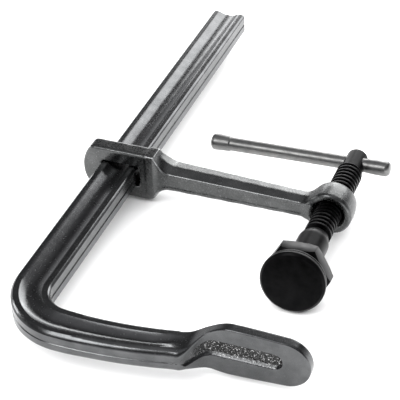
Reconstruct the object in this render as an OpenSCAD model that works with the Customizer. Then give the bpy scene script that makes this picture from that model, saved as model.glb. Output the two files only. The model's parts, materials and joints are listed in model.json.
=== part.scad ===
// Heavy-duty all-steel F clamp: forged rail and fixed arm, sliding arm,
// screw spindle with a sliding tommy bar, and a swivel pad that screws together
// round the end of the spindle.
// Origin: centre of the fixed jaw's clamping face, on the spindle's axis.
// +Y runs along the rail, +X from the rail to the spindle, +Z out of the clamp's plane.

/* [Rail and fixed arm] */
// Width of the rail, in the plane of the clamp
rail_w = 35; // [34:0.5:36]
// Thickness of the rail
rail_t = 20.4; // [20:0.1:20.8]
// Distance from the jaw face to the rail's free end
rail_end = 480; // [470:5:600]
// Throat: from the rail's inner side to the spindle's axis
throat = 182.5; // [182.5:0.5:183]
// Radius of the bend's inner fillet
bend_in_r = 24; // [22:1:26]
// Radius of the bend's outer corner
bend_out_r = 62; // [58:1:64]
// Radius of the fixed arm's long inner curve
bow_in_r = 340; // [335:1:345]
// Radius of the fixed arm's long outer curve
bow_out_r = 385; // [380:1:390]
// Width of the flat land on each side of the hollow in the rail's wide faces
land_w = 7.5; // [6:0.5:9]
// Depth of the hollow in the rail's wide faces
hollow_d = 2.2; // [1:0.1:3]

/* [Fixed jaw] */
// Thickness of the jaw plate
jaw_t = 9.5; // [8:0.5:11]
// Radius of the jaw plate's free end
jaw_end_r = 22; // [20:0.5:23]
// Half height of the jaw plate at its widest
jaw_half_h = 23.5; // [22:0.5:25]
// Depth of the channel in the back of the jaw plate
channel_d = 4; // [2:0.5:5]
// Width of the channel in the back of the jaw plate
channel_w = 17; // [14:0.5:18]

/* [Sliding arm] */
// Distance from the fixed jaw's face to the sliding arm's front face
arm_y = 188.5; // [180:0.5:260]
// Thickness of the head that slides on the rail
head_t = 16; // [14:0.5:18]
// Half height of the head
head_half_h = 24.5; // [23:0.5:26]
// Radius of the head's round outer side
head_r = 34.8; // [34:0.1:36]
// Clearance of the slot over the rail's wide faces
slot_gap_z = 0.8; // [0.5:0.1:1.2]
// Clearance of the slot on the throat side, which lets the arm tip and grip
slot_gap_x = 4; // [3:0.5:5]
// Largest radius of the boss
boss_r = 21.8; // [21:0.1:23]
// Length of the boss
boss_len = 27.5; // [24:0.5:30]

/* [Spindle] */
// Outer diameter of the screw thread
thread_d = 24; // [23:0.5:24]
// Radial running clearance of the screw in the boss
thread_gap = 0.1; // [0.05:0.01:0.1]
// Distance from the swivel centre to the front end of the thread
thread_from = 54; // [50:1:60]
// Length of the screw thread
thread_len = 99; // [95:1:110]
// Diameter of the plain head behind the thread
spindle_head_d = 20.2; // [19.5:0.1:21]
// Length of the plain head behind the thread
spindle_head_len = 29; // [27:0.5:32]
// Diameter of the plain nose in front of the thread
nose_d = 28; // [26:0.5:29]
// Diameter of the neck that goes into the pad
neck_d = 18; // [17:0.5:18]

/* [Swivel pad] */
// Distance from the fixed jaw's face to the swivel centre
swivel_y = 103.5; // [100:0.5:104]
// Angle by which the pad has swung on its swivel
pad_tilt = 10; // [0:1:15]
// Direction of the swing, turned about the spindle's axis
pad_tilt_dir = 20; // [0:5:45]
// Diameter of the clamping plate
plate_d = 57; // [55:0.5:60]
// Distance from the swivel centre to the clamping face
face_d = 18; // [17:0.5:20]
// Width across the flats of the socket nut
nut_af = 52; // [50:0.5:54]
// Length of the socket nut
nut_len = 14; // [13:0.5:15]

/* [Tommy bar] */
// Diameter of the tommy bar
bar_d = 13; // [12.5:0.1:13]
// Distance from the spindle's axis to the ferrule's outer end
bar_left = 140; // [120:1:150]
// Distance from the spindle's axis to the upset end
bar_right = 34; // [32:1:40]
// Angle of the tommy bar about the spindle's axis
bar_angle = 2.1; // [0:0.1:90]
// Length of the pressed-on ferrule
ferrule_len = 19; // [16:1:22]

/* [Hidden] */
$fn = 96;
eps = 0.01;

// rail and fixed arm
rail_in = -throat;
rail_out = -throat - rail_w;
rail_x = -throat - rail_w / 2;
bow_in_x = -132;
bow_in_y = bow_in_r - 13;
bow_out_x = -148;
bow_out_y = bow_out_r - 45.3;
bend_in_x = rail_in + bend_in_r;
bend_in_y = bow_in_y - sqrt(pow(bow_in_r - bend_in_r, 2) - pow(bend_in_x - bow_in_x, 2));
bend_out_x = rail_out + bend_out_r;
bend_out_y = bow_out_y - sqrt(pow(bow_out_r - bend_out_r, 2) - pow(bend_out_x - bow_out_x, 2));
arm_tip_in = -46;
arm_tip_out = -52;
hollow_tip = -62;
past_end = 1;
hollow_nose = 13;
jaw_end_x = 26.5;
jaw_end_z = 1.2;
jaw_wide_x = -18;
jaw_wide_z = 0.5;
channel_z = 2;
channel_end_x = 25;

// sliding arm
head_right = 35;
head_corner_r = 8;
top_corner_r = 6;
boss_front = arm_y + 1.5;
boss_front_r = 19.5;
boss_back_r = 18;
mouth_r = 15.5;
mouth_d = 4;
neck_x = rail_x + head_right;
neck_t = 3;
neck_low = -16;
neck_high = 18;
arm_in_x = -150;
arm_out_x = -14;
// front, ridge and back half heights, then the ridge's and the back's distance from the front
arm_in_shape = [9, 12.5, 8, 9.5, 22];
arm_out_shape = [7.6, 10.5, 7, 7.5, 17];

// spindle
thread_front = swivel_y + thread_from;
thread_back = thread_front + thread_len;
bar_y = thread_back + spindle_head_len / 2 + 1;
thread_r = thread_d / 2;
pin_r = spindle_head_d / 2;
nose_r = nose_d / 2;
nose_from = thread_front - swivel_y;
nose_cone = [13.5, 19];
nose_taper = 9.5;
ball_r = neck_d / 2;
groove_r = 7.6;
ring_from = 1.2;
ring_t = 2;
ring_r = 12;
ring_gap = 0.1;
ring_split = 3;

// pad
plate_r = plate_d / 2;
cavity_r = 13;
cup_r = ball_r + 0.3;
cavity_floor = 2.7;
nut_front = 6.5;
spigot_r = 18;
spigot_top = 2;
lip_r = 11.2;
lip_chamfer = 0.8;
step_r = 24;
step_z = -9.2;
nut_chamfer = 2;

// tommy bar
bar_r = bar_d / 2;
bar_hole_r = bar_r + 0.25;
ferrule_r = 7.9;
ferrule_in_r = 6.9;
bar_spigot_r = 5;
upset_from = 11.5;
upset_r = 7.3;
upset_taper = 5.5;
plug_gap = 5;

function arc(cx, cy, r, a0, a1, n) =
    [for (i = [0:n]) [cx + r * cos(a0 + (a1 - a0) * i / n), cy + r * sin(a0 + (a1 - a0) * i / n)]];
function bow_y(cx, cy, r, x) = cy - sqrt(r * r - (x - cx) * (x - cx));

// Plan outline of the rail, the bend and the fixed arm, moved inwards by g.
// The rail stops at end_y. The inner edge stops at x_in and the outer edge at
// x_out; tip joins the two.
module rail_outline(g, end_y, x_in, x_out, tip) {
    a_in = 360 + atan2(bend_in_y - bow_in_y, bend_in_x - bow_in_x);
    a_out = 360 + atan2(bend_out_y - bow_out_y, bend_out_x - bow_out_x);
    tip_in = 360 - acos((x_in - bow_in_x) / (bow_in_r + g));
    tip_out = 360 - acos((x_out - bow_out_x) / (bow_out_r - g));
    polygon(concat(
        [[rail_in - g, end_y]],
        arc(bend_in_x, bend_in_y, bend_in_r + g, 180, a_in, 10),
        arc(bow_in_x, bow_in_y, bow_in_r + g, a_in, tip_in, 8),
        tip,
        arc(bow_out_x, bow_out_y, bow_out_r - g, tip_out, a_out, 8),
        arc(bend_out_x, bend_out_y, bend_out_r - g, a_out, 180, 12),
        [[rail_out + g, end_y]]));
}

// Spreads from the arm's thickness to the plate's height, then ends round.
module jaw_plate() {
    half_t = rail_t / 2;
    rotate([90, 0, 0])
        linear_extrude(jaw_t)
            polygon(concat(
                [[-52, -half_t]],
                [[-46, -15.5]],
                arc(jaw_wide_x, jaw_wide_z, jaw_half_h, 235, 268, 4),
                arc(jaw_end_x, jaw_end_z, jaw_end_r, 268, 452, 24),
                arc(jaw_wide_x, jaw_wide_z, jaw_half_h, 92, 125, 4),
                [[-46, 13.5]],
                [[-52, half_t]]));
}

// Channel that runs down the arm's outer ramp and along the back of the plate.
module jaw_channel() {
    floor_y = -jaw_t + channel_d;
    end_r = channel_w / 2;
    translate([0, 0, channel_z - end_r])
        linear_extrude(channel_w)
            polygon([[-56, -42], [-54, -36.5], [-43.5, -14], [-34, floor_y],
                     [channel_end_x - end_r, floor_y], [channel_end_x - end_r, -42]]);
    translate([channel_end_x - end_r, floor_y, channel_z])
        rotate([90, 0, 0])
            cylinder(r = end_r, h = 42);
}

module rail_and_fixed_arm() {
    arm_y_in = bow_y(bow_in_x, bow_in_y, bow_in_r, hollow_tip);
    color("slategray")
    difference() {
        union() {
            translate([0, 0, -rail_t / 2])
                linear_extrude(rail_t)
                    rail_outline(0, rail_end, arm_tip_in, arm_tip_out,
                                 [[-42, 0], [-16, 0], [-16, -jaw_t], [-34, -jaw_t], [-43, -17.5],
                                  [-47.5, -27]]);
            jaw_plate();
        }
        for (side = [0, 1])
            mirror([0, 0, side])
                translate([0, 0, rail_t / 2 - hollow_d])
                    linear_extrude(hollow_d + 1)
                        rail_outline(land_w, rail_end + past_end, hollow_tip, hollow_tip - 2,
                                     [[hollow_tip + 4, arm_y_in - hollow_nose]]);
        jaw_channel();
    }
}

// Front outline of the head, about the rail's centre line.
module head_outline() {
    corner = head_corner_r;
    a = asin((head_half_h - 0.5) / head_r);
    polygon(concat(
        arc(-2, 0.5, head_r, 180 - a, 180 + a, 14),
        arc(head_right - corner, -head_half_h + corner, corner, 270, 360, 5),
        arc(head_right - top_corner_r, head_half_h - top_corner_r, top_corner_r, 0, 90, 4)));
}

// Six-sided section of the arm at x: flat front, ridge in the middle, flat back.
module arm_section(x, shape) {
    front_z = shape[0];
    ridge_z = shape[1];
    back_z = shape[2];
    ridge_y = shape[3];
    back_y = shape[4];
    translate([x, arm_y, 0])
        rotate([90, 0, 90])
            linear_extrude(eps)
                polygon([[0, -front_z], [ridge_y, -ridge_z], [back_y, -back_z],
                         [back_y, back_z], [ridge_y, ridge_z], [0, front_z]]);
}

module boss_blank() {
    half = boss_len / 2;
    translate([0, boss_front, 0])
        rotate([-90, 0, 0])
            rotate_extrude()
                polygon([[0, 0], [boss_front_r, 0], [boss_front_r + 1.6, 4], [boss_r, half],
                         [boss_r - 0.6, boss_len - 7], [boss_back_r + 1.2, boss_len - 1.5],
                         [boss_back_r, boss_len], [0, boss_len]]);
}

module sliding_arm() {
    slot_z = rail_t / 2 + slot_gap_z;
    slot_from = rail_out - 0.4;
    slot_to = rail_in + slot_gap_x;
    color("lightslategray")
    difference() {
        union() {
            translate([rail_x, arm_y + head_t, 0])
                rotate([90, 0, 0])
                    linear_extrude(head_t)
                        head_outline();
            hull() {
                translate([neck_x - neck_t - 1, arm_y, neck_low])
                    cube([neck_t, head_t, neck_high - neck_low]);
                arm_section(arm_in_x, arm_in_shape);
            }
            hull() {
                arm_section(arm_in_x, arm_in_shape);
                arm_section(arm_out_x, arm_out_shape);
            }
            boss_blank();
        }
        translate([slot_from, arm_y - 1, -slot_z])
            cube([slot_to - slot_from, head_t + 8, 2 * slot_z]);
        translate([0, boss_front - 1, 0])
            rotate([-90, 0, 0])
                cylinder(r = thread_d / 2 + thread_gap, h = boss_len + 2);
        translate([0, boss_front, 0])
            rotate([-90, 0, 0])
                cylinder(r1 = mouth_r, r2 = thread_d / 2, h = mouth_d);
    }
}

module spindle() {
    thread_to = nose_from + thread_len;
    pin_to = thread_to + spindle_head_len;
    color("dimgray")
    translate([0, swivel_y, 0])
    difference() {
        rotate([-90, 0, 0]) {
            rotate_extrude()
                polygon([[0, 0], [ball_r, 0], [ball_r, nose_cone[0]], [nose_r, nose_cone[1]],
                         [nose_r, nose_from - nose_taper], [thread_r - 0.6, nose_from],
                         [thread_r, nose_from + 1], [thread_r, thread_to - 1],
                         [pin_r, thread_to + 1], [pin_r, pin_to - 4],
                         [pin_r - 0.9, pin_to - 2], [pin_r - 3, pin_to - 0.5], [0, pin_to]]);
            sphere(r = ball_r);
        }
        rotate([-90, 0, 0])
            translate([0, 0, ring_from - ring_gap])
                rotate_extrude()
                    translate([groove_r, 0])
                        square([ball_r, ring_t + 2 * ring_gap]);
        translate([0, bar_y - swivel_y, 0])
            rotate([0, 90 - bar_angle, 0])
                cylinder(r = bar_hole_r, h = 3 * spindle_head_d, center = true);
    }
}

module retaining_ring() {
    color("silver")
    translate([0, swivel_y + ring_from, 0])
        rotate([-90, 0, 0])
            difference() {
                cylinder(r = ring_r, h = ring_t);
                translate([0, 0, -1])
                    cylinder(r = groove_r + ring_gap, h = ring_t + 2);
                translate([0, -ring_split / 2, -1])
                    cube([ring_r + 1, ring_split, ring_t + 2]);
            }
}

// Puts a child, drawn about the swivel centre with +Z towards the spindle,
// at the pad's resting angle.
module on_swivel() {
    translate([0, swivel_y, 0])
        rotate(a = -pad_tilt, v = [cos(pad_tilt_dir), 0, -sin(pad_tilt_dir)])
            rotate([-90, 0, 0])
                children();
}

module pad_plate() {
    color("dimgray")
    on_swivel()
        difference() {
            rotate_extrude()
                polygon([[0, -face_d], [plate_r - 2, -face_d], [plate_r, 2 - face_d],
                         [plate_r, -12.8], [plate_r - 1.2, -12.4], [plate_r - 1.2, -12.1],
                         [plate_r - 0.4, -11.7], [plate_r - 0.4, -9.7], [plate_r - 1, step_z],
                         [step_r, step_z], [step_r, -nut_front], [spigot_r, -nut_front],
                         [spigot_r, spigot_top], [0, spigot_top]]);
            sphere(r = cup_r);
            intersection() {
                sphere(r = cavity_r);
                translate([0, 0, -cavity_floor])
                    cylinder(r = cavity_r + 1, h = 20);
            }
        }
}

module pad_socket_nut() {
    corner_r = nut_af / 2 / cos(30);
    nut_back = nut_len - nut_front;
    lip_z = sqrt(cavity_r * cavity_r - lip_r * lip_r);
    color("dimgray")
    on_swivel()
        difference() {
            intersection() {
                translate([0, 0, -nut_front])
                    cylinder(r = corner_r, h = nut_len, $fn = 6);
                rotate_extrude()
                    polygon([[0, -nut_front], [corner_r - 3, -nut_front],
                             [corner_r + 0.5, -nut_front + nut_chamfer],
                             [corner_r + 0.5, nut_back - nut_chamfer],
                             [corner_r - 3, nut_back], [0, nut_back]]);
            }
            translate([0, 0, -nut_front - 1])
                cylinder(r = spigot_r + 0.05, h = nut_front + 1 + spigot_top + 0.1);
            intersection() {
                sphere(r = cavity_r);
                translate([0, 0, spigot_top])
                    cylinder(r = cavity_r + 1, h = lip_z - spigot_top);
            }
            translate([0, 0, lip_z - eps])
                cylinder(r1 = lip_r, r2 = lip_r + lip_chamfer, h = 1);
            translate([0, 0, nut_back - 0.2])
                cylinder(r = lip_r + lip_chamfer, h = 1);
        }
}

// Puts a child, drawn along +Z, along the tommy bar with the spindle's axis at zero.
module on_bar() {
    translate([0, bar_y, 0])
        rotate([0, 90 - bar_angle, 0])
            children();
}

module tommy_bar() {
    color("silver")
    on_bar()
        rotate_extrude()
            polygon([[0, -bar_left + plug_gap], [bar_spigot_r, -bar_left + plug_gap],
                     [bar_spigot_r, -bar_left + ferrule_len], [bar_r, -bar_left + ferrule_len],
                     [bar_r, upset_from], [upset_r, upset_from + upset_taper],
                     [upset_r - 0.5, bar_right - 3],
                     [upset_r - 1.4, bar_right - 1], [upset_r - 3, bar_right], [0, bar_right]]);
}

module tommy_bar_ferrule() {
    color("gainsboro")
    on_bar()
        translate([0, 0, -bar_left])
            difference() {
                rotate_extrude()
                    polygon([[0, 0], [ferrule_r - 3, 0], [ferrule_r - 1, 0.9], [ferrule_r, 3],
                             [ferrule_in_r, ferrule_len], [0, ferrule_len]]);
                translate([0, 0, plug_gap])
                    cylinder(r = bar_spigot_r, h = ferrule_len);
            }
}

rail_and_fixed_arm();
sliding_arm();
spindle();
retaining_ring();
pad_plate();
pad_socket_nut();
tommy_bar();
tommy_bar_ferrule();
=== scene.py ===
import json
import math

import bmesh
import bpy
import numpy as np
from mathutils import Matrix, Vector, noise


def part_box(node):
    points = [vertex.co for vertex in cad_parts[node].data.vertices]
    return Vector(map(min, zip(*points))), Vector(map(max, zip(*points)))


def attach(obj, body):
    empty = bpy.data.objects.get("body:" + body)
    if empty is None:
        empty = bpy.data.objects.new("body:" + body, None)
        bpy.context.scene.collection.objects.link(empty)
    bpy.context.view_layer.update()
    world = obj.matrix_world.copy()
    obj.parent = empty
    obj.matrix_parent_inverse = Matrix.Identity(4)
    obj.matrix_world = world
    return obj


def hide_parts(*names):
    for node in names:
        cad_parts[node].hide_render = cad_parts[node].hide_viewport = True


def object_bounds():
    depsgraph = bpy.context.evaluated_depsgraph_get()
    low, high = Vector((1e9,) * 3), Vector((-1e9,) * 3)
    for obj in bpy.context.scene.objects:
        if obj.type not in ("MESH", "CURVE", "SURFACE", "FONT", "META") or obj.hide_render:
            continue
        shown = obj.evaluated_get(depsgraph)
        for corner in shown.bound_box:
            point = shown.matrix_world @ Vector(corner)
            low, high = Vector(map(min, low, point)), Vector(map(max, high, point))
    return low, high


# Looks of the all-steel F clamp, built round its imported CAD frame.
# Lengths are millimetres in the frame's axes, and become metres when a mesh is made.

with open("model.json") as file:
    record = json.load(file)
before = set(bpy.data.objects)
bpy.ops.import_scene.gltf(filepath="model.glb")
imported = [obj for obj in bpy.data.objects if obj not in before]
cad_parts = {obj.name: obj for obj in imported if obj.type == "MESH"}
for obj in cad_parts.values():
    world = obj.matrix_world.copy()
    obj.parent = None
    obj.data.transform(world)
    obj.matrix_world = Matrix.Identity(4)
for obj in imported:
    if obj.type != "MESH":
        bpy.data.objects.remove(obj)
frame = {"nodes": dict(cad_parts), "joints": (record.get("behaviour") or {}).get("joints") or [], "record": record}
CAD_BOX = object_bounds()
MM = 0.001
JOINTS = {joint["name"]: joint for joint in frame["joints"]}


# ---------------------------------------------------------------- places, taken from the frame

def reach(node):
    """Lowest and highest corner of a CAD node, in millimetres."""
    low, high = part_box(node)
    return np.array(low) / MM, np.array(high) / MM


RAIL_LOW, RAIL_HIGH = reach("rail_and_fixed_arm")
ARM_LOW, ARM_HIGH = reach("sliding_arm")
SPINDLE_HIGH = reach("spindle")[1]
BAR_LOW, BAR_HIGH = reach("tommy_bar")
SWIVEL = np.array(JOINTS["pad_tilt"]["pos_m"]) / MM
PAD_MOUNT = next(m for m in frame["record"]["mounts"] if m["name"] == "swivel_pad_face")

# rail and fixed arm
RAIL_W = 35.0
RAIL_HALF_T = 10.2
RAIL_OUT = RAIL_LOW[0]
RAIL_IN = RAIL_OUT + RAIL_W
RAIL_X = RAIL_OUT + RAIL_W / 2
RAIL_END = RAIL_HIGH[1]
ARM_BACK = RAIL_LOW[1]
BEND_IN_R = 24.0
BEND_OUT_R = 62.0
BOW_IN = (-132.0, 340.0)  # centre's x, and radius
BOW_OUT = (-148.0, 385.0)
BOW_IN_Y = BOW_IN[1] - 13.0
BOW_OUT_Y = BOW_OUT[1] + ARM_BACK
RAIL_CORNER = 2.1
LAND_W = 7.2
HOLLOW_D = 2.9
LINE_HALF = 1.3  # the shallow line along the outer side
LINE_D = 0.75
GROOVE_HALF = 1.6  # the groove along the inner side
GROOVE_D = 0.8

# fixed jaw
JAW_FROM = -62.0
JAW_T = 9.5
JAW_LAND_W = 3.4
JAW_END_X = 26.5
JAW_END_Z = 1.2
CHANNEL_Z = 2.0
CHANNEL_HALF = 8.5
CHANNEL_END = 25.7
CHANNEL_D = 3.6
POCKET_HALF = 5.7  # the channel's narrow start, on the ramp from arm to jaw
POCKET_D = 5.2
GRIT_FROM = -44.0

# steps along each stretch of the section
FLOOR_STEPS = 11
WALL_STEPS = 6
SIDE_STEPS = 4
CORNER_STEPS = 5
LAND_STEPS = 2
HOLLOW_STEPS = 18
INNER_STEPS = 3

# sliding arm
HEAD_T = 16.0
HEAD_R = 34.8
HEAD_ROUND_X = RAIL_X - 2.0
HEAD_ROUND_Z = 0.5
HEAD_HALF_H = 24.5
HEAD_HALF_W = 60.0
HEAD_RIGHT = RAIL_X + 35.0
HEAD_TOP_CORNER = 1.0
HEAD_LOW_CORNER = 7.5
SLOT_HALF_Z = 11.0
SLOT_IN = RAIL_IN + 2.6
SLOT_OUT = RAIL_OUT - 0.4
SLOT_CORNER = 3.2
SLOT_EDGE = 1.2
HEAD_FILLET = 3.6
SHANK_FROM = -172.0
BOSS_LEN = 27.5
BOSS_START = ARM_HIGH[1] - ARM_LOW[1] - BOSS_LEN - 0.6
BOSS_FILLET = 7.0
BORE_R = 12.1
BORE_MOUTH = 3.6
BORE_EDGE = 0.9

# spindle
PITCH = 5.0
THREAD_R = 12.0
THREAD_D = 2.7
THREAD_FROM = 54.0
THREAD_LEN = 99.0
TURN_STEPS = 18
HEAD_PIN_R = 10.1
NOSE_R = 14.0
NECK_R = 9.0
BAR_HOLE_R = 6.8

# swivel pad
PLATE_R = 28.5
FACE = 18.0
SPIGOT_R = 18.0
NUT_AF = 52.0
NUT_FRONT = 6.5
NUT_LEN = 14.0

# tommy bar
BAR_R = 6.5
BAR_LEFT = 140.0
BAR_RIGHT = 34.0
FERRULE_LEN = 19.0
PIN_R = 5.0
PIN_LEN = 14.0


# ---------------------------------------------------------------- small shape tools

def ease(x, start, end):
    """0 before start, 1 after end, and smooth between."""
    t = np.clip((x - start) / (end - start), 0.0, 1.0)
    return t * t * (3 - 2 * t)


def steps(count):
    """Even steps from just after 0 up to 1."""
    return [k / count for k in range(1, count + 1)]


def through(*rows):
    """A smooth function of x through rows of (x, value, value...)."""
    table = np.array(rows, float)
    xs, values = table[:, 0], table[:, 1:]
    slopes = np.gradient(values, xs, axis=0)

    def at(x):
        i = int(np.clip(np.searchsorted(xs, x) - 1, 0, len(xs) - 2))
        step = xs[i + 1] - xs[i]
        t = min(max((x - xs[i]) / step, 0.0), 1.0)
        start, end = values[i], values[i + 1]
        return ((2 * t**3 - 3 * t**2 + 1) * start + (t**3 - 2 * t**2 + t) * step * slopes[i]
                + (3 * t**2 - 2 * t**3) * end + (t**3 - t**2) * step * slopes[i + 1])
    return at


def rounded(points, count=4):
    """An outline of (u, v, radius) corners with an arc at each corner that has a radius."""
    out = []
    for i, (u, v, radius) in enumerate(points):
        here = Vector((u, v))
        if radius <= 0 or i in (0, len(points) - 1):
            out.append((u, v))
            continue
        back = Vector(points[i - 1][:2]) - here
        on = Vector(points[i + 1][:2]) - here
        cut = min(radius, 0.4 * back.length, 0.4 * on.length)
        start, end = here + back.normalized() * cut, here + on.normalized() * cut
        out.append(tuple(here + back.normalized() * cut * 1.2))
        for t in [0.0] + steps(count):
            out.append(tuple((1 - t) ** 2 * start + 2 * t * (1 - t) * here + t * t * end))
        out.append(tuple(here + on.normalized() * cut * 1.2))
    return out


def shade_smooth(mesh, sharp):
    """Shades a mesh smooth, except at edges over the sharp angle."""
    mesh.polygons.foreach_set("use_smooth", [True] * len(mesh.polygons))
    mesh.set_sharp_from_angle(angle=math.radians(sharp))


def make_piece(name, points, faces, sharp=35.0, place=None, rough=None):
    """A mesh object from points in millimetres, shaded smooth up to the sharp angle.

    rough, one number a point, is kept as an attribute that a material can read."""
    mesh = bpy.data.meshes.new(name)
    mesh.from_pydata([tuple(p) for p in np.asarray(points, float) * MM], [], faces)
    work = bmesh.new()
    work.from_mesh(mesh)
    if rough is not None:
        layer = work.verts.layers.float.new("rough")
        for vert, value in zip(work.verts, rough):
            vert[layer] = value
    bmesh.ops.remove_doubles(work, verts=work.verts, dist=1e-6)
    bmesh.ops.dissolve_degenerate(work, edges=work.edges, dist=1e-7)
    bmesh.ops.recalc_face_normals(work, faces=work.faces)
    work.to_mesh(mesh)
    work.free()
    if place is not None:
        mesh.transform(place)
    shade_smooth(mesh, sharp)
    piece = bpy.data.objects.new(name, mesh)
    bpy.context.scene.collection.objects.link(piece)
    return piece


def ring_faces(rows, count):
    """Quads between neighbouring rings, for rows rings of count points each."""
    faces = []
    for r in range(rows - 1):
        for c in range(count):
            d = (c + 1) % count
            faces.append((r * count + c, r * count + d, (r + 1) * count + d, (r + 1) * count + c))
    return faces


def lathe(outline, segments):
    """Points and faces of an outline of (radius, height) turned about +Z."""
    turns = np.linspace(0, 2 * math.pi, segments, endpoint=False)
    points = [(r * math.cos(a), r * math.sin(a), h) for r, h in outline for a in turns]
    return points, ring_faces(len(outline), segments)


def apply_modifiers(piece):
    """Makes the piece's modifiers part of its mesh."""
    bpy.context.view_layer.update()
    evaluated = piece.evaluated_get(bpy.context.evaluated_depsgraph_get())
    mesh = bpy.data.meshes.new_from_object(evaluated)
    piece.modifiers.clear()
    piece.data = mesh


def apply_boolean(piece, cutter, operation):
    """Cuts or meets piece with cutter, and removes the cutter."""
    change = piece.modifiers.new("cut", "BOOLEAN")
    change.operation = operation
    change.solver = "EXACT"
    change.object = cutter
    apply_modifiers(piece)
    bpy.data.objects.remove(cutter)


def soften(piece, width, angle, sharp=35.0):
    """Rounds the piece's edges that are harder than angle."""
    change = piece.modifiers.new("soft_edges", "BEVEL")
    change.width = width * MM
    change.segments = 2
    change.limit_method = "ANGLE"
    change.angle_limit = math.radians(angle)
    apply_modifiers(piece)
    shade_smooth(piece.data, sharp)


def finish_piece(piece, body, node, material):
    """Puts a piece on its body, in its CAD node's place, in its finish."""
    piece.data.materials.clear()
    piece.data.materials.append(material)
    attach(piece, body)
    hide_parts(node)


# ---------------------------------------------------------------- a solid from a distance field

def surface_net(field, low, high, cell):
    """Points and quads of the surface where field is zero, between the corners low and high."""
    axes = [np.arange(low[i], high[i] + cell, cell) for i in range(3)]
    grid = np.stack(np.meshgrid(*axes, indexing="ij"), -1)
    value = field(grid)
    cells = np.array(value.shape) - 1
    total = np.zeros((cells.prod(), 3))
    hits = np.zeros(cells.prod())
    quads = []
    for axis in range(3):
        ahead = np.swapaxes(value, 0, axis)
        cross = (ahead[:-1] < 0) != (ahead[1:] < 0)
        index = np.stack(np.nonzero(np.swapaxes(cross, 0, axis)), -1)
        step = np.eye(3, dtype=int)[axis]
        near = value[tuple(index.T)]
        far = value[tuple((index + step).T)]
        point = np.stack([axes[i][index[:, i]] for i in range(3)], -1)
        point = point + step * (near / (near - far))[:, None] * cell
        side_a = np.eye(3, dtype=int)[(axis + 1) % 3]
        side_b = np.eye(3, dtype=int)[(axis + 2) % 3]
        around = [index - side_a - side_b, index - side_b, index, index - side_a]
        ids = np.stack([np.ravel_multi_index(a.T, cells) for a in around], -1)
        for k in range(4):
            np.add.at(total, ids[:, k], point)
            np.add.at(hits, ids[:, k], 1)
        flip = near > 0
        ids[flip] = ids[flip][:, ::-1]
        quads.append(ids)
    used = np.nonzero(hits)[0]
    renumber = np.full(len(hits), -1)
    renumber[used] = np.arange(len(used))
    points = total[used] / hits[used][:, None]
    return settle(field, points, cell), renumber[np.concatenate(quads)].tolist()


def settle(field, points, cell):
    """Moves points onto the field's zero by a few Newton steps, and never far from their cell."""
    nudge = 0.04
    least_slope = 0.05
    step_limit, total_limit = 0.3 * cell, 0.8 * cell
    start = points.copy()
    for _ in range(4):
        slope = np.stack([(field(points + nudge * e) - field(points - nudge * e)) / (2 * nudge)
                          for e in np.eye(3)], -1)
        steepness = np.maximum((slope**2).sum(-1), least_slope)
        move = field(points)[:, None] * slope / steepness[:, None]
        points = points - np.clip(move, -step_limit, step_limit)
    return start + np.clip(points - start, -total_limit, total_limit)


def join_soft(a, b, size):
    """Union of two fields with a fillet of about size."""
    h = np.maximum(size - np.abs(a - b), 0) / size
    return np.minimum(a, b) - h * h * size / 4


def cut_soft(a, b, size):
    """Field a outside field b, with the edge rounded by about size."""
    return -join_soft(-a, b, size)


def meet_soft(a, b, size):
    """The part common to both fields, with the edge rounded by about size."""
    return -join_soft(-a, -b, size)


def slab(a, half_a, b, half_b, corner):
    """Field of a rounded rectangle in the plane of a and b."""
    qa = np.abs(a) - half_a + corner
    qb = np.abs(b) - half_b + corner
    outside = np.hypot(np.maximum(qa, 0), np.maximum(qb, 0))
    return outside + np.minimum(np.maximum(qa, qb), 0) - corner


# ---------------------------------------------------------------- rail and fixed arm

def bow_y(bow, centre_y, x):
    """Height of a bow's curve at x. A bow is (centre x, radius)."""
    return centre_y - math.sqrt(bow[1] ** 2 - (x - bow[0]) ** 2)


def bend_centre(bow, centre_y, radius, side_x):
    """Centre of the bend that joins a straight side to a bow."""
    x = side_x + radius
    return x, centre_y - math.sqrt((bow[1] - radius) ** 2 - (x - bow[0]) ** 2)


def bent_edge(bow, centre_y, radius, side_x, counts, tip_x):
    """Points of one edge of the rail and arm: straight, bend, then bow to tip_x."""
    cx, cy = bend_centre(bow, centre_y, radius, side_x)
    turn = 2 * math.pi + math.atan2(cy - centre_y, cx - bow[0])
    straight, bend, bow_count = counts
    edge = [(side_x, RAIL_END + (cy - RAIL_END) * k / straight) for k in range(straight)]
    for k in range(bend):
        a = math.pi + (turn - math.pi) * k / bend
        edge.append((cx + radius * math.cos(a), cy + radius * math.sin(a)))
    start_x = bow[0] + bow[1] * math.cos(turn)
    for k in range(bow_count + 1):
        x = start_x + (tip_x - start_x) * k / bow_count
        edge.append((x, bow_y(bow, centre_y, x)))
    return edge


# x, outer edge y, inner edge y, top z, bottom z
JAW_SHAPE = through(
    (JAW_FROM, -35.9, -6.5, 10.2, -10.2), (-57.0, -34.9, -5.0, 10.2, -10.2),
    (-52.0, -33.5, -3.0, 10.4, -10.3), (-49.0, -30.0, -1.4, 11.0, -10.9),
    (-46.0, -24.5, -0.5, 12.2, -13.2), (-43.0, -18.0, -0.1, 13.8, -16.2),
    (-40.0, -13.2, 0.0, 15.6, -18.6), (-36.0, -10.4, 0.0, 18.0, -20.6),
    (-30.0, -JAW_T, 0.0, 21.2, -22.2), (-22.0, -JAW_T, 0.0, 24.0, -23.0),
    (-12.0, -JAW_T, 0.0, 24.4, -22.8), (4.0, -JAW_T, 0.0, 24.1, -22.1),
    (JAW_END_X, -JAW_T, 0.0, 23.3, -20.9))


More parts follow.
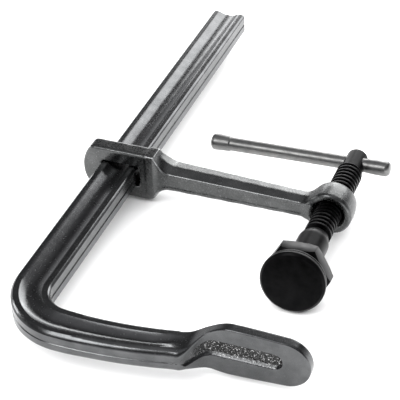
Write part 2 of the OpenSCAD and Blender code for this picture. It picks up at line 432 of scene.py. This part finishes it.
def corner_points(across, height, size, flat, outer):
    """Points round a corner of the section: an arc, or a bevel as flat nears 1."""
    points = []
    for t in steps(CORNER_STEPS):
        a = t * math.pi / 2
        if outer:
            arc, line = (1 - math.cos(a), math.sin(a)), (t, t)
        else:
            arc, line = (math.sin(a), math.cos(a)), (t, 1 - t)
        u, v = (size * (p + flat * (q - p)) for p, q in zip(arc, line))
        points.append((across + u, height + v, 0.0))
    return points


def half_section(out, inn, height, mid, style):
    """Half of a section, from the middle of its outer side to the middle of its inner side.

    Each point is (x, y, z, rough), and arm_style says what the style holds."""
    out, inn = Vector(out), Vector(inn)
    width = (inn - out).length
    across = (inn - out) / width
    outer, inner, flat = style["outer_corner"], style["inner_corner"], style["flat"]
    hollow, land = style["hollow"], style["land"]
    centre, half, depth, wall = style["outer_channel"]
    inner_half, inner_depth = style["inner_groove"]
    sign = 1 if height > mid else -1
    top = abs(height - mid)
    centre = sign * (centre - mid)
    grit = min(depth, 1.0)
    # outer side: the channel's floor and wall, then the plain side
    profile = [(depth, centre + (half - wall) * t, grit) for t in [0.0] + steps(FLOOR_STEPS)]
    profile += [(depth * (1 - ease(t, 0, 1)), centre + half - wall * (1 - t), 0.5 * (1 - t) * grit)
                for t in steps(WALL_STEPS)]
    side = top - outer - centre - half
    profile += [(0.0, centre + half + side * t**3, 0.0) for t in steps(SIDE_STEPS)]
    profile += corner_points(0.0, top - outer, outer, flat, True)
    # flat face: a land, the hollow and a land
    profile += [(outer + (land - outer) * t, top, 0.0) for t in steps(LAND_STEPS)]
    for t in steps(HOLLOW_STEPS):
        drop = hollow * math.sin(math.pi * t) ** 0.9 if t < 1 else 0.0
        profile.append((land + (width - 2 * land) * t, top - drop, 0.0))
    profile += [(width - land + (land - inner) * t, top, 0.0) for t in steps(LAND_STEPS)]
    # inner side, with its shallow groove
    profile += corner_points(width - inner, top - inner, inner, flat, False)
    profile += [(width, top - inner + (inner_half - top + inner) * t, 0.0) for t in steps(INNER_STEPS)]
    profile += [(width - inner_depth * ease(t, 0, 0.8), inner_half * (1 - t), 0.0)
                for t in steps(INNER_STEPS)]
    points = []
    for a, z, rough in profile:
        spot = out + across * a
        points.append((spot.x, spot.y, mid + sign * z, rough))
    return points


def section(out, inn, top, bottom, mid, style):
    """Closed ring: the upper half from outer to inner middle, and the lower half back."""
    upper = half_section(out, inn, top, mid, style)
    lower = half_section(out, inn, bottom, mid, style)
    return upper + lower[-2:0:-1]


def arm_style(x):
    """Section style along the fixed arm and jaw, by x.

    It holds the sizes of the inner and outer corners, how flat they are, the hollow's depth and
    the land beside it, the outer side's channel as (centre, half width, depth, wall width) and
    the inner side's groove as (half width, depth)."""
    forged = ease(x, -150, -110)
    ramp = ease(x, -52, -40)
    widen = ease(x, -50, -32)
    end = max(0.0, CHANNEL_END - x)
    # the channel: a shallow line on the arm, a pocket on the ramp, and a round-ended trough in the jaw
    round_end = math.sqrt(max(CHANNEL_HALF**2 - (CHANNEL_HALF - end) ** 2, 0.0))
    trough_half = max(CHANNEL_HALF if end > CHANNEL_HALF else round_end, 0.4)
    pocket_half = (POCKET_HALF - LINE_HALF) * ease(x, -52.5, -48) * (1 - widen)
    half = LINE_HALF + (trough_half - LINE_HALF) * widen + pocket_half
    level = ease(x, -42, -36)
    line = LINE_D * (1 - ease(x, -58, -51))
    trough = CHANNEL_D * level * ease(end, 0.0, 2.6)
    pocket = POCKET_D * ease(x, -51.5, -48.5) * (1 - level)
    middle = CHANNEL_Z * widen + (JAW_END_Z - CHANNEL_Z) * ease(x, CHANNEL_END - 0.1, JAW_END_X)
    wall = 0.8 + (min(3.2, 0.6 * half) - 0.8) * widen
    corner = RAIL_CORNER - 0.7 * ramp
    return {
        "inner_corner": corner + 0.9 * forged * (1 - ramp),
        "outer_corner": corner + (1.2 + 2.8 * forged) * ease(x, -216, -180) * (1 - ramp),
        "flat": 0.75 * (1 - forged),
        "hollow": HOLLOW_D * (1 - ease(x, -78, -50)),
        "land": LAND_W * (1 - ramp) + JAW_LAND_W * ramp,
        "outer_channel": (middle, half, line + trough + pocket, wall),
        "inner_groove": (GROOVE_HALF, GROOVE_D * (1 - ease(x, -175, -120))),
    }


def channel_grit(x, y, z, rough):
    """Forged roughness of the channel's floor, as a move along y."""
    if rough <= 0 or x < GRIT_FROM + 4:
        return 0.0
    spot = Vector((x, y, z))
    coarse = 0.55 * noise.noise(spot * 0.45)
    fine = 0.60 * noise.noise(spot * 0.95 + Vector((7, 3, 5)))
    return rough * (coarse + fine) * float(ease(x, GRIT_FROM, GRIT_FROM + 14))


def build_rail():
    """The drawn rail, its bend, the fixed arm and the jaw, as one loft."""
    counts = (44, 26, 30)  # stations on the straight rail, the bend and the bow
    inner = bent_edge(BOW_IN, BOW_IN_Y, BEND_IN_R, RAIL_IN, counts, JAW_FROM)
    outer = bent_edge(BOW_OUT, BOW_OUT_Y, BEND_OUT_R, RAIL_OUT, counts, JAW_FROM)
    rings = []
    for i, (out, inn) in enumerate(zip(outer, inner)):
        style = arm_style(out[0] if i >= counts[0] else RAIL_OUT)
        rings.append(section(out, inn, RAIL_HALF_T, -RAIL_HALF_T, 0.0, style))
    ramp_end = -30.0
    trough_end = CHANNEL_END - CHANNEL_HALF
    jaw_x = list(np.linspace(JAW_FROM, ramp_end, 34)[1:])
    jaw_x += list(np.linspace(ramp_end, trough_end, 76)[1:])
    jaw_x += [trough_end + CHANNEL_HALF * math.sin(a) for a in np.linspace(0, math.pi / 2, 18)[1:]]
    jaw_x.append(JAW_END_X)
    shift = JAW_SHAPE(JAW_FROM)[0] - outer[-1][1]
    for x in jaw_x:
        back, front, top, bottom = JAW_SHAPE(x)
        back -= shift * (1 - float(ease(x, JAW_FROM, JAW_FROM + 8)))
        mid = JAW_END_Z * float(ease(x, -50, -10))
        rings.append(section((x, back), (x, front), top, bottom, mid, arm_style(x)))
    count = len(rings[0])
    rings += end_turn(rings[-1], count // 2)
    points = [(x, y + channel_grit(x, y, z, r), z) for ring in rings for x, y, z, r in ring]
    rough = [r * float(ease(x, -51, -38)) for ring in rings for x, y, z, r in ring]
    faces = ring_faces(len(rings), count)
    faces.append(tuple(range(count))[::-1])
    return make_piece("rail_and_fixed_arm_forging", points, faces, sharp=28.0, rough=rough)


def end_turn(last, half):
    """Rings that turn the last section's upper half over the jaw's round end onto its lower half."""
    upper = last[:half + 1]
    lower = [last[0]] + last[:half:-1] + [last[half]]
    rings = []
    for t in steps(26):
        a = math.pi * t
        row = []
        for p, q in zip(upper, lower):
            up, down = p[2] - JAW_END_Z, JAW_END_Z - q[2]
            r = up + (down - up) * t
            y = p[1] + (q[1] - p[1]) * t
            row.append((JAW_END_X + r * math.sin(a), y, JAW_END_Z + r * math.cos(a), 0.0))
        rings.append(row + lower[-2:0:-1])
    return rings


# ---------------------------------------------------------------- sliding arm

def head_field(x, y, z):
    """The head: a round outer side and straight ends, with its edges eased."""
    round_side = np.hypot(np.minimum(x - HEAD_ROUND_X, 0), z - HEAD_ROUND_Z) - HEAD_R
    corner = np.where(z > 0, HEAD_TOP_CORNER, HEAD_LOW_CORNER)
    block = slab(x - HEAD_RIGHT + HEAD_HALF_W, HEAD_HALF_W, z, HEAD_HALF_H, corner)
    outline = meet_soft(round_side, block, 2.2)
    return meet_soft(outline, np.abs(y - HEAD_T / 2) - HEAD_T / 2, 3.4)


def bevel(y, height, start, end):
    """A flat side of the shank, through two (y, z) points of its section."""
    run, rise = end[0] - start[0], end[1] - start[1]
    return ((height - start[1]) * run - (y - start[0]) * rise) / np.hypot(run, rise)


def shank_field(x, y, z):
    """The shank: a six-sided section that thins towards the boss and flares into the head."""
    t = np.clip((x + 150) / 136, 0, 1)
    flare = np.clip((-146 - x) / 19, 0, 1) ** 2
    lip = np.clip((-151 - x) / 14, 0, 1) ** 2
    low = ease(-z, -3, 3)  # the lower side flares less than the upper
    spread = 1 - 0.45 * low
    front_z = 9.0 - 1.4 * t - 0.9 * low * (1 - lip) + 15.0 * lip * spread
    ridge_y = 9.5 - 2.0 * t
    ridge_z = 12.5 - 2.0 * t - 0.6 * low * (1 - flare) + 11.8 * flare * spread
    back_y = 22.0 - 5.0 * t - 6.0 * flare
    back_z = 10.5 - 1.3 * t + 13.6 * flare * spread
    height = np.abs(z)
    step_x, step_z = ease(x, -166, -164.5), ease(height, front_z - 3.4, front_z - 2.6)
    front = 0.7 * step_x * (1 - step_z)  # the front is sunk between two narrow lips
    shank = meet_soft(bevel(y - front, height, (0.0, front_z), (ridge_y, ridge_z)),
                      bevel(y, height, (ridge_y, ridge_z), (back_y, back_z)), 0.9)
    shank = meet_soft(shank, front - y, 1.0)
    shank = meet_soft(shank, y - back_y, 2.2)
    return np.maximum(shank, np.maximum(x, SHANK_FROM - x))


def boss_field(radius, along):
    """The boss: a barrel round the spindle, slimmer and rounder at its far end."""
    far = np.clip(along / BOSS_LEN, 0, 1)
    swell = 20.8 + 0.8 * far - 3.4 * far**3
    return meet_soft(radius - swell, np.abs(along - BOSS_LEN / 2) - BOSS_LEN / 2, 3.2 + 3.0 * far)


def slot_field(x, z):
    """The slot for the rail, right through the head."""
    middle, half = (SLOT_IN + SLOT_OUT) / 2, (SLOT_IN - SLOT_OUT) / 2
    return slab(x - middle, half, z, SLOT_HALF_Z, SLOT_CORNER)


def arm_field(p):
    """Distance field of the forged sliding arm, about its front plane and the spindle's axis."""
    x, y, z = p[..., 0], p[..., 1] - ARM_LOW[1], p[..., 2]
    radius, along = np.hypot(x, z), y - BOSS_START
    solid = join_soft(head_field(x, y, z), shank_field(x, y, z), HEAD_FILLET)
    solid = join_soft(solid, boss_field(radius, along), BOSS_FILLET)
    solid = solid + forge_wave(x, y, z)
    solid = cut_soft(solid, slot_field(x, z), SLOT_EDGE)
    bore = radius - BORE_R - np.clip(BORE_MOUTH - along, 0, 9) * 0.85
    return cut_soft(solid, bore, BORE_EDGE)


def forge_wave(x, y, z):
    """Low, uneven swell that hammer and die leave on a forging."""
    return 0.09 * np.sin(x * 0.31 + 1.3 * np.sin(z * 0.21)) * np.sin(z * 0.37 + y * 0.23 + 0.8)


def build_sliding_arm():
    """The sliding arm, taken from its distance field, with the slot's walls marked for painted shade."""
    margin = 2.5
    cell = 0.85
    points, faces = surface_net(arm_field, ARM_LOW - margin, ARM_HIGH + margin, cell)
    x, y, z = points.T
    deep = y - ARM_LOW[1]
    inside = ease(deep, 0.6, 1.6) * (1 - ease(deep, HEAD_T - 1.6, HEAD_T - 0.6))
    near = 0.3
    # Painted shade: a mask of the slot's inner walls, stored as the rough attribute, that the arm's material
    # darkens to near black.
    slot_shade = inside * (x < SLOT_IN + near) * (x > SLOT_OUT - near) * (np.abs(z) < SLOT_HALF_Z + near)
    return make_piece("sliding_arm_forging", points, faces, sharp=48.0, rough=slot_shade)


# ---------------------------------------------------------------- spindle

def tooth(turns):
    """Depth of the thread's groove, 0 on a crest and 1 at a root, at a place in turns."""
    u = np.abs(2 * (turns - np.floor(turns)) - 1)
    return ease(u, 0.36, 0.70)


def build_spindle():
    """The screw: swivel ball, neck, nose, thread and plain head, with the tommy bar's hole."""
    length = SPINDLE_HIGH[1] - SWIVEL[1]
    thread_to = THREAD_FROM + THREAD_LEN
    outline = [(NECK_R * math.sin(a), -NECK_R * math.cos(a)) for a in np.linspace(0, math.pi / 2, 10)]
    outline += rounded([(NECK_R, 0.2, 0), (NECK_R, 13.2, 1.5), (NOSE_R, 18.6, 2.2),
                        (NOSE_R, THREAD_FROM - 9.5, 2.5), (THREAD_R - 1.6, THREAD_FROM + 0.5, 1.0)], 5)
    outline += [(THREAD_R, s) for s in np.arange(THREAD_FROM + 1, thread_to - 1, PITCH / TURN_STEPS)]
    outline += rounded([(THREAD_R - 0.6, thread_to, 0), (HEAD_PIN_R, thread_to + 1.2, 0.4),
                        (HEAD_PIN_R, length - 3.4, 3.0), (HEAD_PIN_R - 3.4, length - 0.4, 2.0),
                        (0, length, 0)], 6)
    segments = 72
    sharp = 50.0
    turns = np.arange(segments) / segments
    points = []
    for radius, s in outline:
        runout = ease(s, THREAD_FROM - 1, THREAD_FROM + 3) * (1 - ease(s, thread_to - 3, thread_to))
        grooves = THREAD_D * float(runout) * tooth(s / PITCH - turns)
        for turn, groove in zip(turns, grooves):
            r = max(radius - groove * (radius > HEAD_PIN_R - 1.2), 0)
            a = 2 * math.pi * turn
            points.append((r * math.sin(a), SWIVEL[1] + s, r * math.cos(a)))
    piece = make_piece("spindle_screw", points, ring_faces(len(outline), segments), sharp=sharp)
    hole, faces = lathe(rounded([
        (0, -20, 0), (BAR_HOLE_R + 1.7, -20, 0), (BAR_HOLE_R, -6.5, 0.6),
        (BAR_HOLE_R, 6.5, 0.6), (BAR_HOLE_R + 1.7, 20, 0), (0, 20, 0)]), 48)
    cutter = make_piece("bar_hole", hole, faces, place=bar_place())
    apply_boolean(piece, cutter, "DIFFERENCE")
    piece.data.set_sharp_from_angle(angle=math.radians(sharp))
    return piece


# ---------------------------------------------------------------- swivel pad

def pad_place():
    """Places a part drawn about the swivel centre, with +Z towards the spindle, at its rest angle."""
    tilt = math.acos(-PAD_MOUNT["axis"][1])
    lean = Matrix.Rotation(-tilt, 4, Vector(JOINTS["pad_tilt"]["axis"]))
    return Matrix.Translation(SWIVEL * MM) @ lean @ Matrix.Rotation(-math.pi / 2, 4, "X")


def build_pad_plate():
    """The clamping disc: a chamfered face, a thin groove, a second ring and the spigot's cavity."""
    rim = PLATE_R
    face_and_rim = [
        (0, -FACE, 0), (rim - 2.2, -FACE, 0.5), (rim, -FACE + 2.0, 0.8), (rim, -12.9, 0.5),
        (rim - 1.3, -12.5, 0), (rim - 1.3, -12.0, 0), (rim - 0.4, -11.6, 0.4), (rim - 0.4, -9.8, 0.5),
        (rim - 1.1, -9.2, 0.3), (24, -9.2, 0), (24, -6.55, 0)]
    spigot = [(SPIGOT_R, -6.55, 0), (SPIGOT_R, 2, 0), (12.8, 2, 0), (13, 0, 0), (12.7, -2.7, 0)]
    cavity = [(8.9, -2.7, 0), (8.1, -4.6, 0), (6.5, -6.7, 0), (3.6, -8.6, 0), (0, -9.3, 0)]
    points, faces = lathe(rounded(face_and_rim + spigot + cavity), 128)
    return make_piece("pad_plate_disc", points, faces, sharp=32.0, place=pad_place())


def build_pad_nut():
    """The socket nut: a hexagon with its corners turned off, and the lip that holds the ring."""
    corner = NUT_AF / 2 / math.cos(math.pi / 6)
    front, back = -NUT_FRONT, NUT_LEN - NUT_FRONT
    bore = SPIGOT_R + 0.05
    turned, faces = lathe(rounded([
        (bore, front, 0), (corner - 3.2, front, 0), (corner + 0.4, front + 2.1, 0),
        (corner + 0.4, back - 2.1, 0), (corner - 3.2, back, 0), (13.4, back, 0.8),
        (11.6, back - 1.0, 0.6), (11.6, 6.4, 0), (13, 2.2, 0), (bore, 2.1, 0), (bore, front, 0)], 3), 96)
    nut = make_piece("pad_socket_hex", turned, faces, place=pad_place())
    hexagon, _ = lathe([(corner, front - 1), (corner, back + 1)], 6)
    sides = ring_faces(2, 6) + [tuple(range(6))[::-1], tuple(range(6, 12))]
    cutter = make_piece("hexagon", hexagon, sides, place=pad_place())
    apply_boolean(nut, cutter, "INTERSECT")
    soften(nut, 0.45, 25.0)
    return nut


# ---------------------------------------------------------------- tommy bar

def bar_place():
    """Places a part drawn along +Z, with zero at the spindle's axis, along the tommy bar."""
    middle = (BAR_LOW[1] + BAR_HIGH[1]) / 2
    along = Vector(JOINTS["tommy_bar_slide"]["axis"])
    return Matrix.Translation((0, middle * MM, 0)) @ along.to_track_quat("Z", "Y").to_matrix().to_4x4()


def build_tommy_bar():
    """The round bar, upset at one end so that it can't fall out of the spindle."""
    shoulder = -BAR_LEFT + FERRULE_LEN
    pin_end = shoulder - PIN_LEN
    outline = rounded([
        (0, pin_end, 0), (PIN_R, pin_end, 0), (PIN_R, shoulder, 0), (BAR_R, shoulder, 0),
        (BAR_R - 0.12, -70, 20), (BAR_R, 11.5, 2.5),
        (7.0, 16, 3), (7.3, BAR_RIGHT - 8, 3), (7.2, BAR_RIGHT - 3.0, 2.0),
        (5.0, BAR_RIGHT - 0.5, 2.0), (0, BAR_RIGHT, 0)], 5)
    points, faces = lathe(outline, 56)
    return make_piece("tommy_bar_rod", points, faces, sharp=40.0, place=bar_place())


def build_ferrule():
    """The ferrule pressed on the other end, with a rolled inner edge."""
    bore, depth = PIN_R + 0.02, FERRULE_LEN - PIN_LEN
    outline = rounded([
        (0, depth, 0), (0, 0, 0), (5.6, 0, 2.6), (7.9, 2.4, 2.2), (7.75, 8, 3),
        (7.15, FERRULE_LEN - 1.2, 0.8), (6.7, FERRULE_LEN, 0.4), (bore, FERRULE_LEN, 0),
        (bore, depth, 0), (0, depth, 0)], 6)
    points, faces = lathe([(r, h - BAR_LEFT) for r, h in outline], 56)
    return make_piece("tommy_bar_ferrule_cap", points, faces, sharp=40.0, place=bar_place())


# ---------------------------------------------------------------- materials

class Finish:
    """A node material that is built up bit by bit."""

    def __init__(self, name, metallic, roughness):
        self.material = bpy.data.materials.new(name)
        self.material.use_nodes = True
        self.nodes = self.material.node_tree.nodes
        self.links = self.material.node_tree.links
        self.shader = self.nodes["Principled BSDF"]
        self.shader.inputs["Metallic"].default_value = metallic
        self.shader.inputs["Roughness"].default_value = roughness
        self.place = self.nodes.new("ShaderNodeTexCoord").outputs["Object"]
        self.normal = None

    def stretched(self, scale):
        """The object's coordinates, stretched by scale."""
        node = self.nodes.new("ShaderNodeMapping")
        node.inputs["Scale"].default_value = scale
        self.links.new(self.place, node.inputs["Vector"])
        return node.outputs["Vector"]

    def grain(self, size, detail=4.0, rough=0.6, place=None):
        """Noise with features of about size millimetres."""
        node = self.nodes.new("ShaderNodeTexNoise")
        node.inputs["Scale"].default_value = 1.0 / (size * MM)
        node.inputs["Detail"].default_value = detail
        node.inputs["Roughness"].default_value = rough
        self.links.new(place or self.place, node.inputs["Vector"])
        return node.outputs["Fac"]

    def spread(self, value, low, high, start=0.0, end=1.0):
        """Maps value from low..high onto start..end."""
        node = self.nodes.new("ShaderNodeMapRange")
        node.inputs["From Min"].default_value = low
        node.inputs["From Max"].default_value = high
        node.inputs["To Min"].default_value = start
        node.inputs["To Max"].default_value = end
        self.links.new(value, node.inputs["Value"])
        return node.outputs["Result"]

    def product(self, a, b):
        """Multiplies two values."""
        node = self.nodes.new("ShaderNodeMath")
        node.operation = "MULTIPLY"
        self.links.new(a, node.inputs[0])
        self.links.new(b, node.inputs[1])
        return node.outputs["Value"]

    def blend(self, fac, dark, light):
        """Mixes two colours, or a colour output and a colour, by fac."""
        node = self.nodes.new("ShaderNodeMix")
        node.data_type = "RGBA"
        self.links.new(fac, node.inputs["Factor"])
        sockets = [s for s in node.inputs if s.type == "RGBA"]
        for colour, socket in zip((dark, light), sockets):
            if isinstance(colour, tuple):
                socket.default_value = (*colour, 1.0)
            else:
                self.links.new(colour, socket)
        return [s for s in node.outputs if s.type == "RGBA"][0]

    def attribute(self, name):
        """A number that the mesh holds for each point."""
        node = self.nodes.new("ShaderNodeAttribute")
        node.attribute_name = name
        return node.outputs["Fac"]

    def edges(self, low, high):
        """Where the surface is sharply convex."""
        return self.spread(self.nodes.new("ShaderNodeNewGeometry").outputs["Pointiness"], low, high)

    def bump(self, height, strength, depth):
        """Adds a bump of depth millimetres over the bumps before it."""
        node = self.nodes.new("ShaderNodeBump")
        node.inputs["Strength"].default_value = strength
        node.inputs["Distance"].default_value = depth * MM
        self.links.new(height, node.inputs["Height"])
        if self.normal is not None:
            self.links.new(self.normal, node.inputs["Normal"])
        self.normal = node.outputs["Normal"]

    def done(self, colour, roughness):
        """Connects the colour, roughness and bumps to the shader."""
        self.links.new(colour, self.shader.inputs["Base Color"])
        self.links.new(roughness, self.shader.inputs["Roughness"])
        self.links.new(self.normal, self.shader.inputs["Normal"])
        return self.material


def grey(value, tint=0.0):
    """A grey, a little blue where tint is above zero."""
    return (value, value + tint / 2, value + tint)


def forged_steel():
    """Dark drawn steel with fine grain and soft patches, and with light scale in the jaw's channel."""
    f = Finish("forged_steel_dark", 1.0, 0.3)
    fine = f.grain(0.7)
    patch = f.grain(16, 3.0)
    scale = f.grain(1.5, 3.0)
    rough = f.attribute("rough")
    colour = f.blend(f.spread(patch, 0.35, 0.65), grey(0.085, 0.004), grey(0.115, 0.004))
    colour = f.blend(f.spread(fine, 0.62, 0.78), colour, grey(0.21, 0.01))
    colour = f.blend(rough, colour, grey(0.05))
    colour = f.blend(f.product(rough, f.spread(scale, 0.58, 0.64)), colour, grey(0.66))
    f.bump(patch, 0.15, 0.4)
    f.bump(fine, 0.20, 0.08)
    f.bump(f.product(rough, scale), 0.9, 0.9)
    return f.done(colour, f.spread(f.grain(1.6), 0.3, 0.7, 0.18, 0.28))


def bright_forged_steel():
    """Tumbled forging of the sliding arm: lighter on its sharp edges, partly rubbed wear and partly painted
    highlight, and with painted shade on its slot's walls.
    """
    f = Finish("forged_steel_bright", 1.0, 0.36)
    fine = f.grain(1.5, 4.0)
    patch = f.grain(14, 3.0)
    colour = f.blend(f.spread(patch, 0.35, 0.65), (0.075, 0.077, 0.077), (0.10, 0.102, 0.102))
    colour = f.blend(f.spread(fine, 0.60, 0.72), colour, grey(0.20, 0.01))
    # Sharp convex edges lightened: partly rubbed wear, partly painted highlight.
    colour = f.blend(f.edges(0.52, 0.58), colour, grey(0.60, 0.02))
    # Painted shade: the slot's walls, marked by the rough attribute, go near black.
    colour = f.blend(f.attribute("rough"), colour, grey(0.012))
    f.bump(patch, 0.25, 0.5)
    f.bump(fine, 0.45, 0.15)
    return f.done(colour, f.spread(f.grain(2.0), 0.3, 0.7, 0.22, 0.36))


def black_oxide():
    """Chemically blacked steel, satin and slightly uneven."""
    f = Finish("black_oxide_satin", 0.97, 0.34)
    fine = f.grain(0.8)
    patch = f.grain(9, 3.0)
    colour = f.blend(f.spread(patch, 0.35, 0.7), (0.004, 0.004, 0.0043), (0.009, 0.009, 0.0093))
    f.bump(fine, 0.2, 0.08)
    return f.done(colour, f.spread(patch, 0.3, 0.7, 0.30, 0.42))


def bar_steel():
    """Mid-grey drawn bar with lengthwise marks."""
    f = Finish("bar_steel_drawn", 1.0, 0.34)
    marks = f.grain(0.8, 4.0, 0.6, f.stretched((0.08, 1.0, 1.0)))
    patch = f.grain(7, 3.0)
    colour = f.blend(f.spread(patch, 0.3, 0.7), (0.14, 0.14, 0.14), (0.22, 0.22, 0.215))
    colour = f.blend(f.spread(marks, 0.58, 0.75), colour, grey(0.15))
    f.bump(marks, 0.3, 0.12)
    return f.done(colour, f.spread(marks, 0.3, 0.7, 0.28, 0.42))


def spring_steel():
    """The retaining ring's blued spring steel."""
    f = Finish("spring_steel_blued", 1.0, 0.3)
    fine = f.grain(0.5)
    colour = f.blend(f.spread(f.grain(3), 0.3, 0.7), (0.16, 0.17, 0.19), (0.26, 0.27, 0.29))
    f.bump(fine, 0.2, 0.06)
    return f.done(colour, f.spread(fine, 0.3, 0.7, 0.24, 0.38))


def floor_paper():
    """A pale matt sheet with the faintest unevenness."""
    f = Finish("floor_paper", 0.0, 0.9)
    fibre = f.grain(30, 2.0)
    colour = f.blend(fibre, grey(0.90), grey(0.92))
    f.bump(fibre, 0.02, 0.1)
    return f.done(colour, f.spread(fibre, 0.3, 0.7, 0.88, 0.92))


# ---------------------------------------------------------------- the object

STEEL = forged_steel()
BRIGHT = bright_forged_steel()
BLACK = black_oxide()
BAR = bar_steel()

finish_piece(build_rail(), "rail", "rail_and_fixed_arm", STEEL)
finish_piece(build_sliding_arm(), "sliding_arm", "sliding_arm", BRIGHT)
finish_piece(build_spindle(), "spindle", "spindle", BLACK)
finish_piece(build_pad_plate(), "swivel_pad", "pad_plate", BLACK)
finish_piece(build_pad_nut(), "swivel_pad", "pad_socket_nut", BLACK)
finish_piece(build_tommy_bar(), "tommy_bar", "tommy_bar", BAR)
finish_piece(build_ferrule(), "tommy_bar", "tommy_bar_ferrule", BAR)

RING = frame["nodes"]["retaining_ring"]
RING.data.materials.clear()
RING.data.materials.append(spring_steel())


# ---------------------------------------------------------------- floor, light and camera

def build_floor():
    """A wide pale sheet under the object."""
    size = 4000.0
    gap = 0.2
    low = CAD_BOX[0].z / MM - gap
    corners = [(-size, -size, low), (size, -size, low), (size, size, low), (-size, size, low)]
    floor = make_piece("floor", corners, [(0, 1, 2, 3)])
    floor.data.materials.append(floor_paper())


# name, place, target, width, height and power
SOFTBOXES = (
    ("back_softbox", (0.10, 1.25, 0.55), (0.0, 0.3, 0.1), 0.9, 0.7, 10.0),
    ("far_softbox", (-0.55, 1.55, 0.40), (-0.1, 0.2, 0.0), 0.7, 0.3, 3.7),
    ("front_softbox", (-0.59, -0.81, 1.18), (-0.1, 0.15, 0.0), 0.5, 0.8, 9.0),
    ("left_softbox", (-1.5, 0.10, 0.42), (-0.15, 0.05, 0.0), 0.4, 0.3, 3.5),
)


def soft_light(name, place, target, width, height, power):
    """A rectangular soft light at place, facing target, in metres."""
    data = bpy.data.lights.new(name, "AREA")
    data.shape = "RECTANGLE"
    data.size = width
    data.size_y = height
    data.energy = power
    light = bpy.data.objects.new(name, data)
    light.location = place
    aim = Vector(target) - Vector(place)
    light.rotation_euler = aim.to_track_quat("-Z", "Y").to_euler()
    light.visible_camera = False
    bpy.context.scene.collection.objects.link(light)


def sky_light(direction, strength, spread):
    """Even soft light that brightens the floor, and that polished steel doesn't mirror."""
    data = bpy.data.lights.new("sky", "SUN")
    data.energy = strength
    data.angle = math.radians(spread)
    light = bpy.data.objects.new("sky", data)
    light.rotation_euler = Vector(direction).to_track_quat("-Z", "Y").to_euler()
    light.visible_glossy = False
    bpy.context.scene.collection.objects.link(light)


# height of the direction looked at, grey, and blue
WORLD_RAMP = ((0.0, 1.0, 1.0), (0.16, 0.7, 0.721), (0.42, 0.07, 0.073), (0.60, 0.10, 0.103),
              (1.0, 0.55, 0.5665))
WORLD_STRENGTH = 1.2


def build_world():
    """Pale near the horizon and overhead, and dim between, as in a tent with an open band."""
    world = bpy.data.worlds.new("studio")
    bpy.context.scene.world = world
    world.use_nodes = True
    nodes, links = world.node_tree.nodes, world.node_tree.links
    place = nodes.new("ShaderNodeTexCoord").outputs["Generated"]
    split = nodes.new("ShaderNodeSeparateXYZ")
    links.new(place, split.inputs["Vector"])
    ramp = nodes.new("ShaderNodeValToRGB")
    elements = ramp.color_ramp.elements
    for element, row in zip(elements, (WORLD_RAMP[0], WORLD_RAMP[-1])):
        element.position = row[0]
        element.color = (row[1], row[1], row[2], 1.0)
    for height, level, blue in WORLD_RAMP[1:-1]:
        elements.new(height).color = (level, level, blue, 1.0)
    links.new(split.outputs["Z"], ramp.inputs["Fac"])
    links.new(ramp.outputs["Color"], nodes["Background"].inputs["Color"])
    nodes["Background"].inputs["Strength"].default_value = WORLD_STRENGTH


def build_camera():
    """The camera, aimed at a point of the clamp's plane."""
    azimuth, elevation = math.radians(22.40), math.radians(36.47)
    aim = Vector((-0.1147, 0.1737, 0.0))
    distance = 1.4129
    roll = math.radians(-2.12)
    level = math.cos(elevation)
    back = Vector((math.sin(azimuth) * level, -math.cos(azimuth) * level, math.sin(elevation)))
    data = bpy.data.cameras.new("camera")
    data.lens = 141.93
    data.sensor_width = 36.0
    camera = bpy.data.objects.new("camera", data)
    turn = back.to_track_quat("Z", "Y").to_matrix().to_4x4() @ Matrix.Rotation(roll, 4, "Z")
    camera.matrix_world = Matrix.Translation(aim + back * distance) @ turn
    bpy.context.scene.collection.objects.link(camera)
    bpy.context.scene.camera = camera


build_floor()
build_world()
sky_light(direction=(0.25, -0.3, -1.0), strength=5.2, spread=140)
for softbox in SOFTBOXES:
    soft_light(*softbox)
build_camera()

bpy.context.scene.view_settings.view_transform = "Standard"
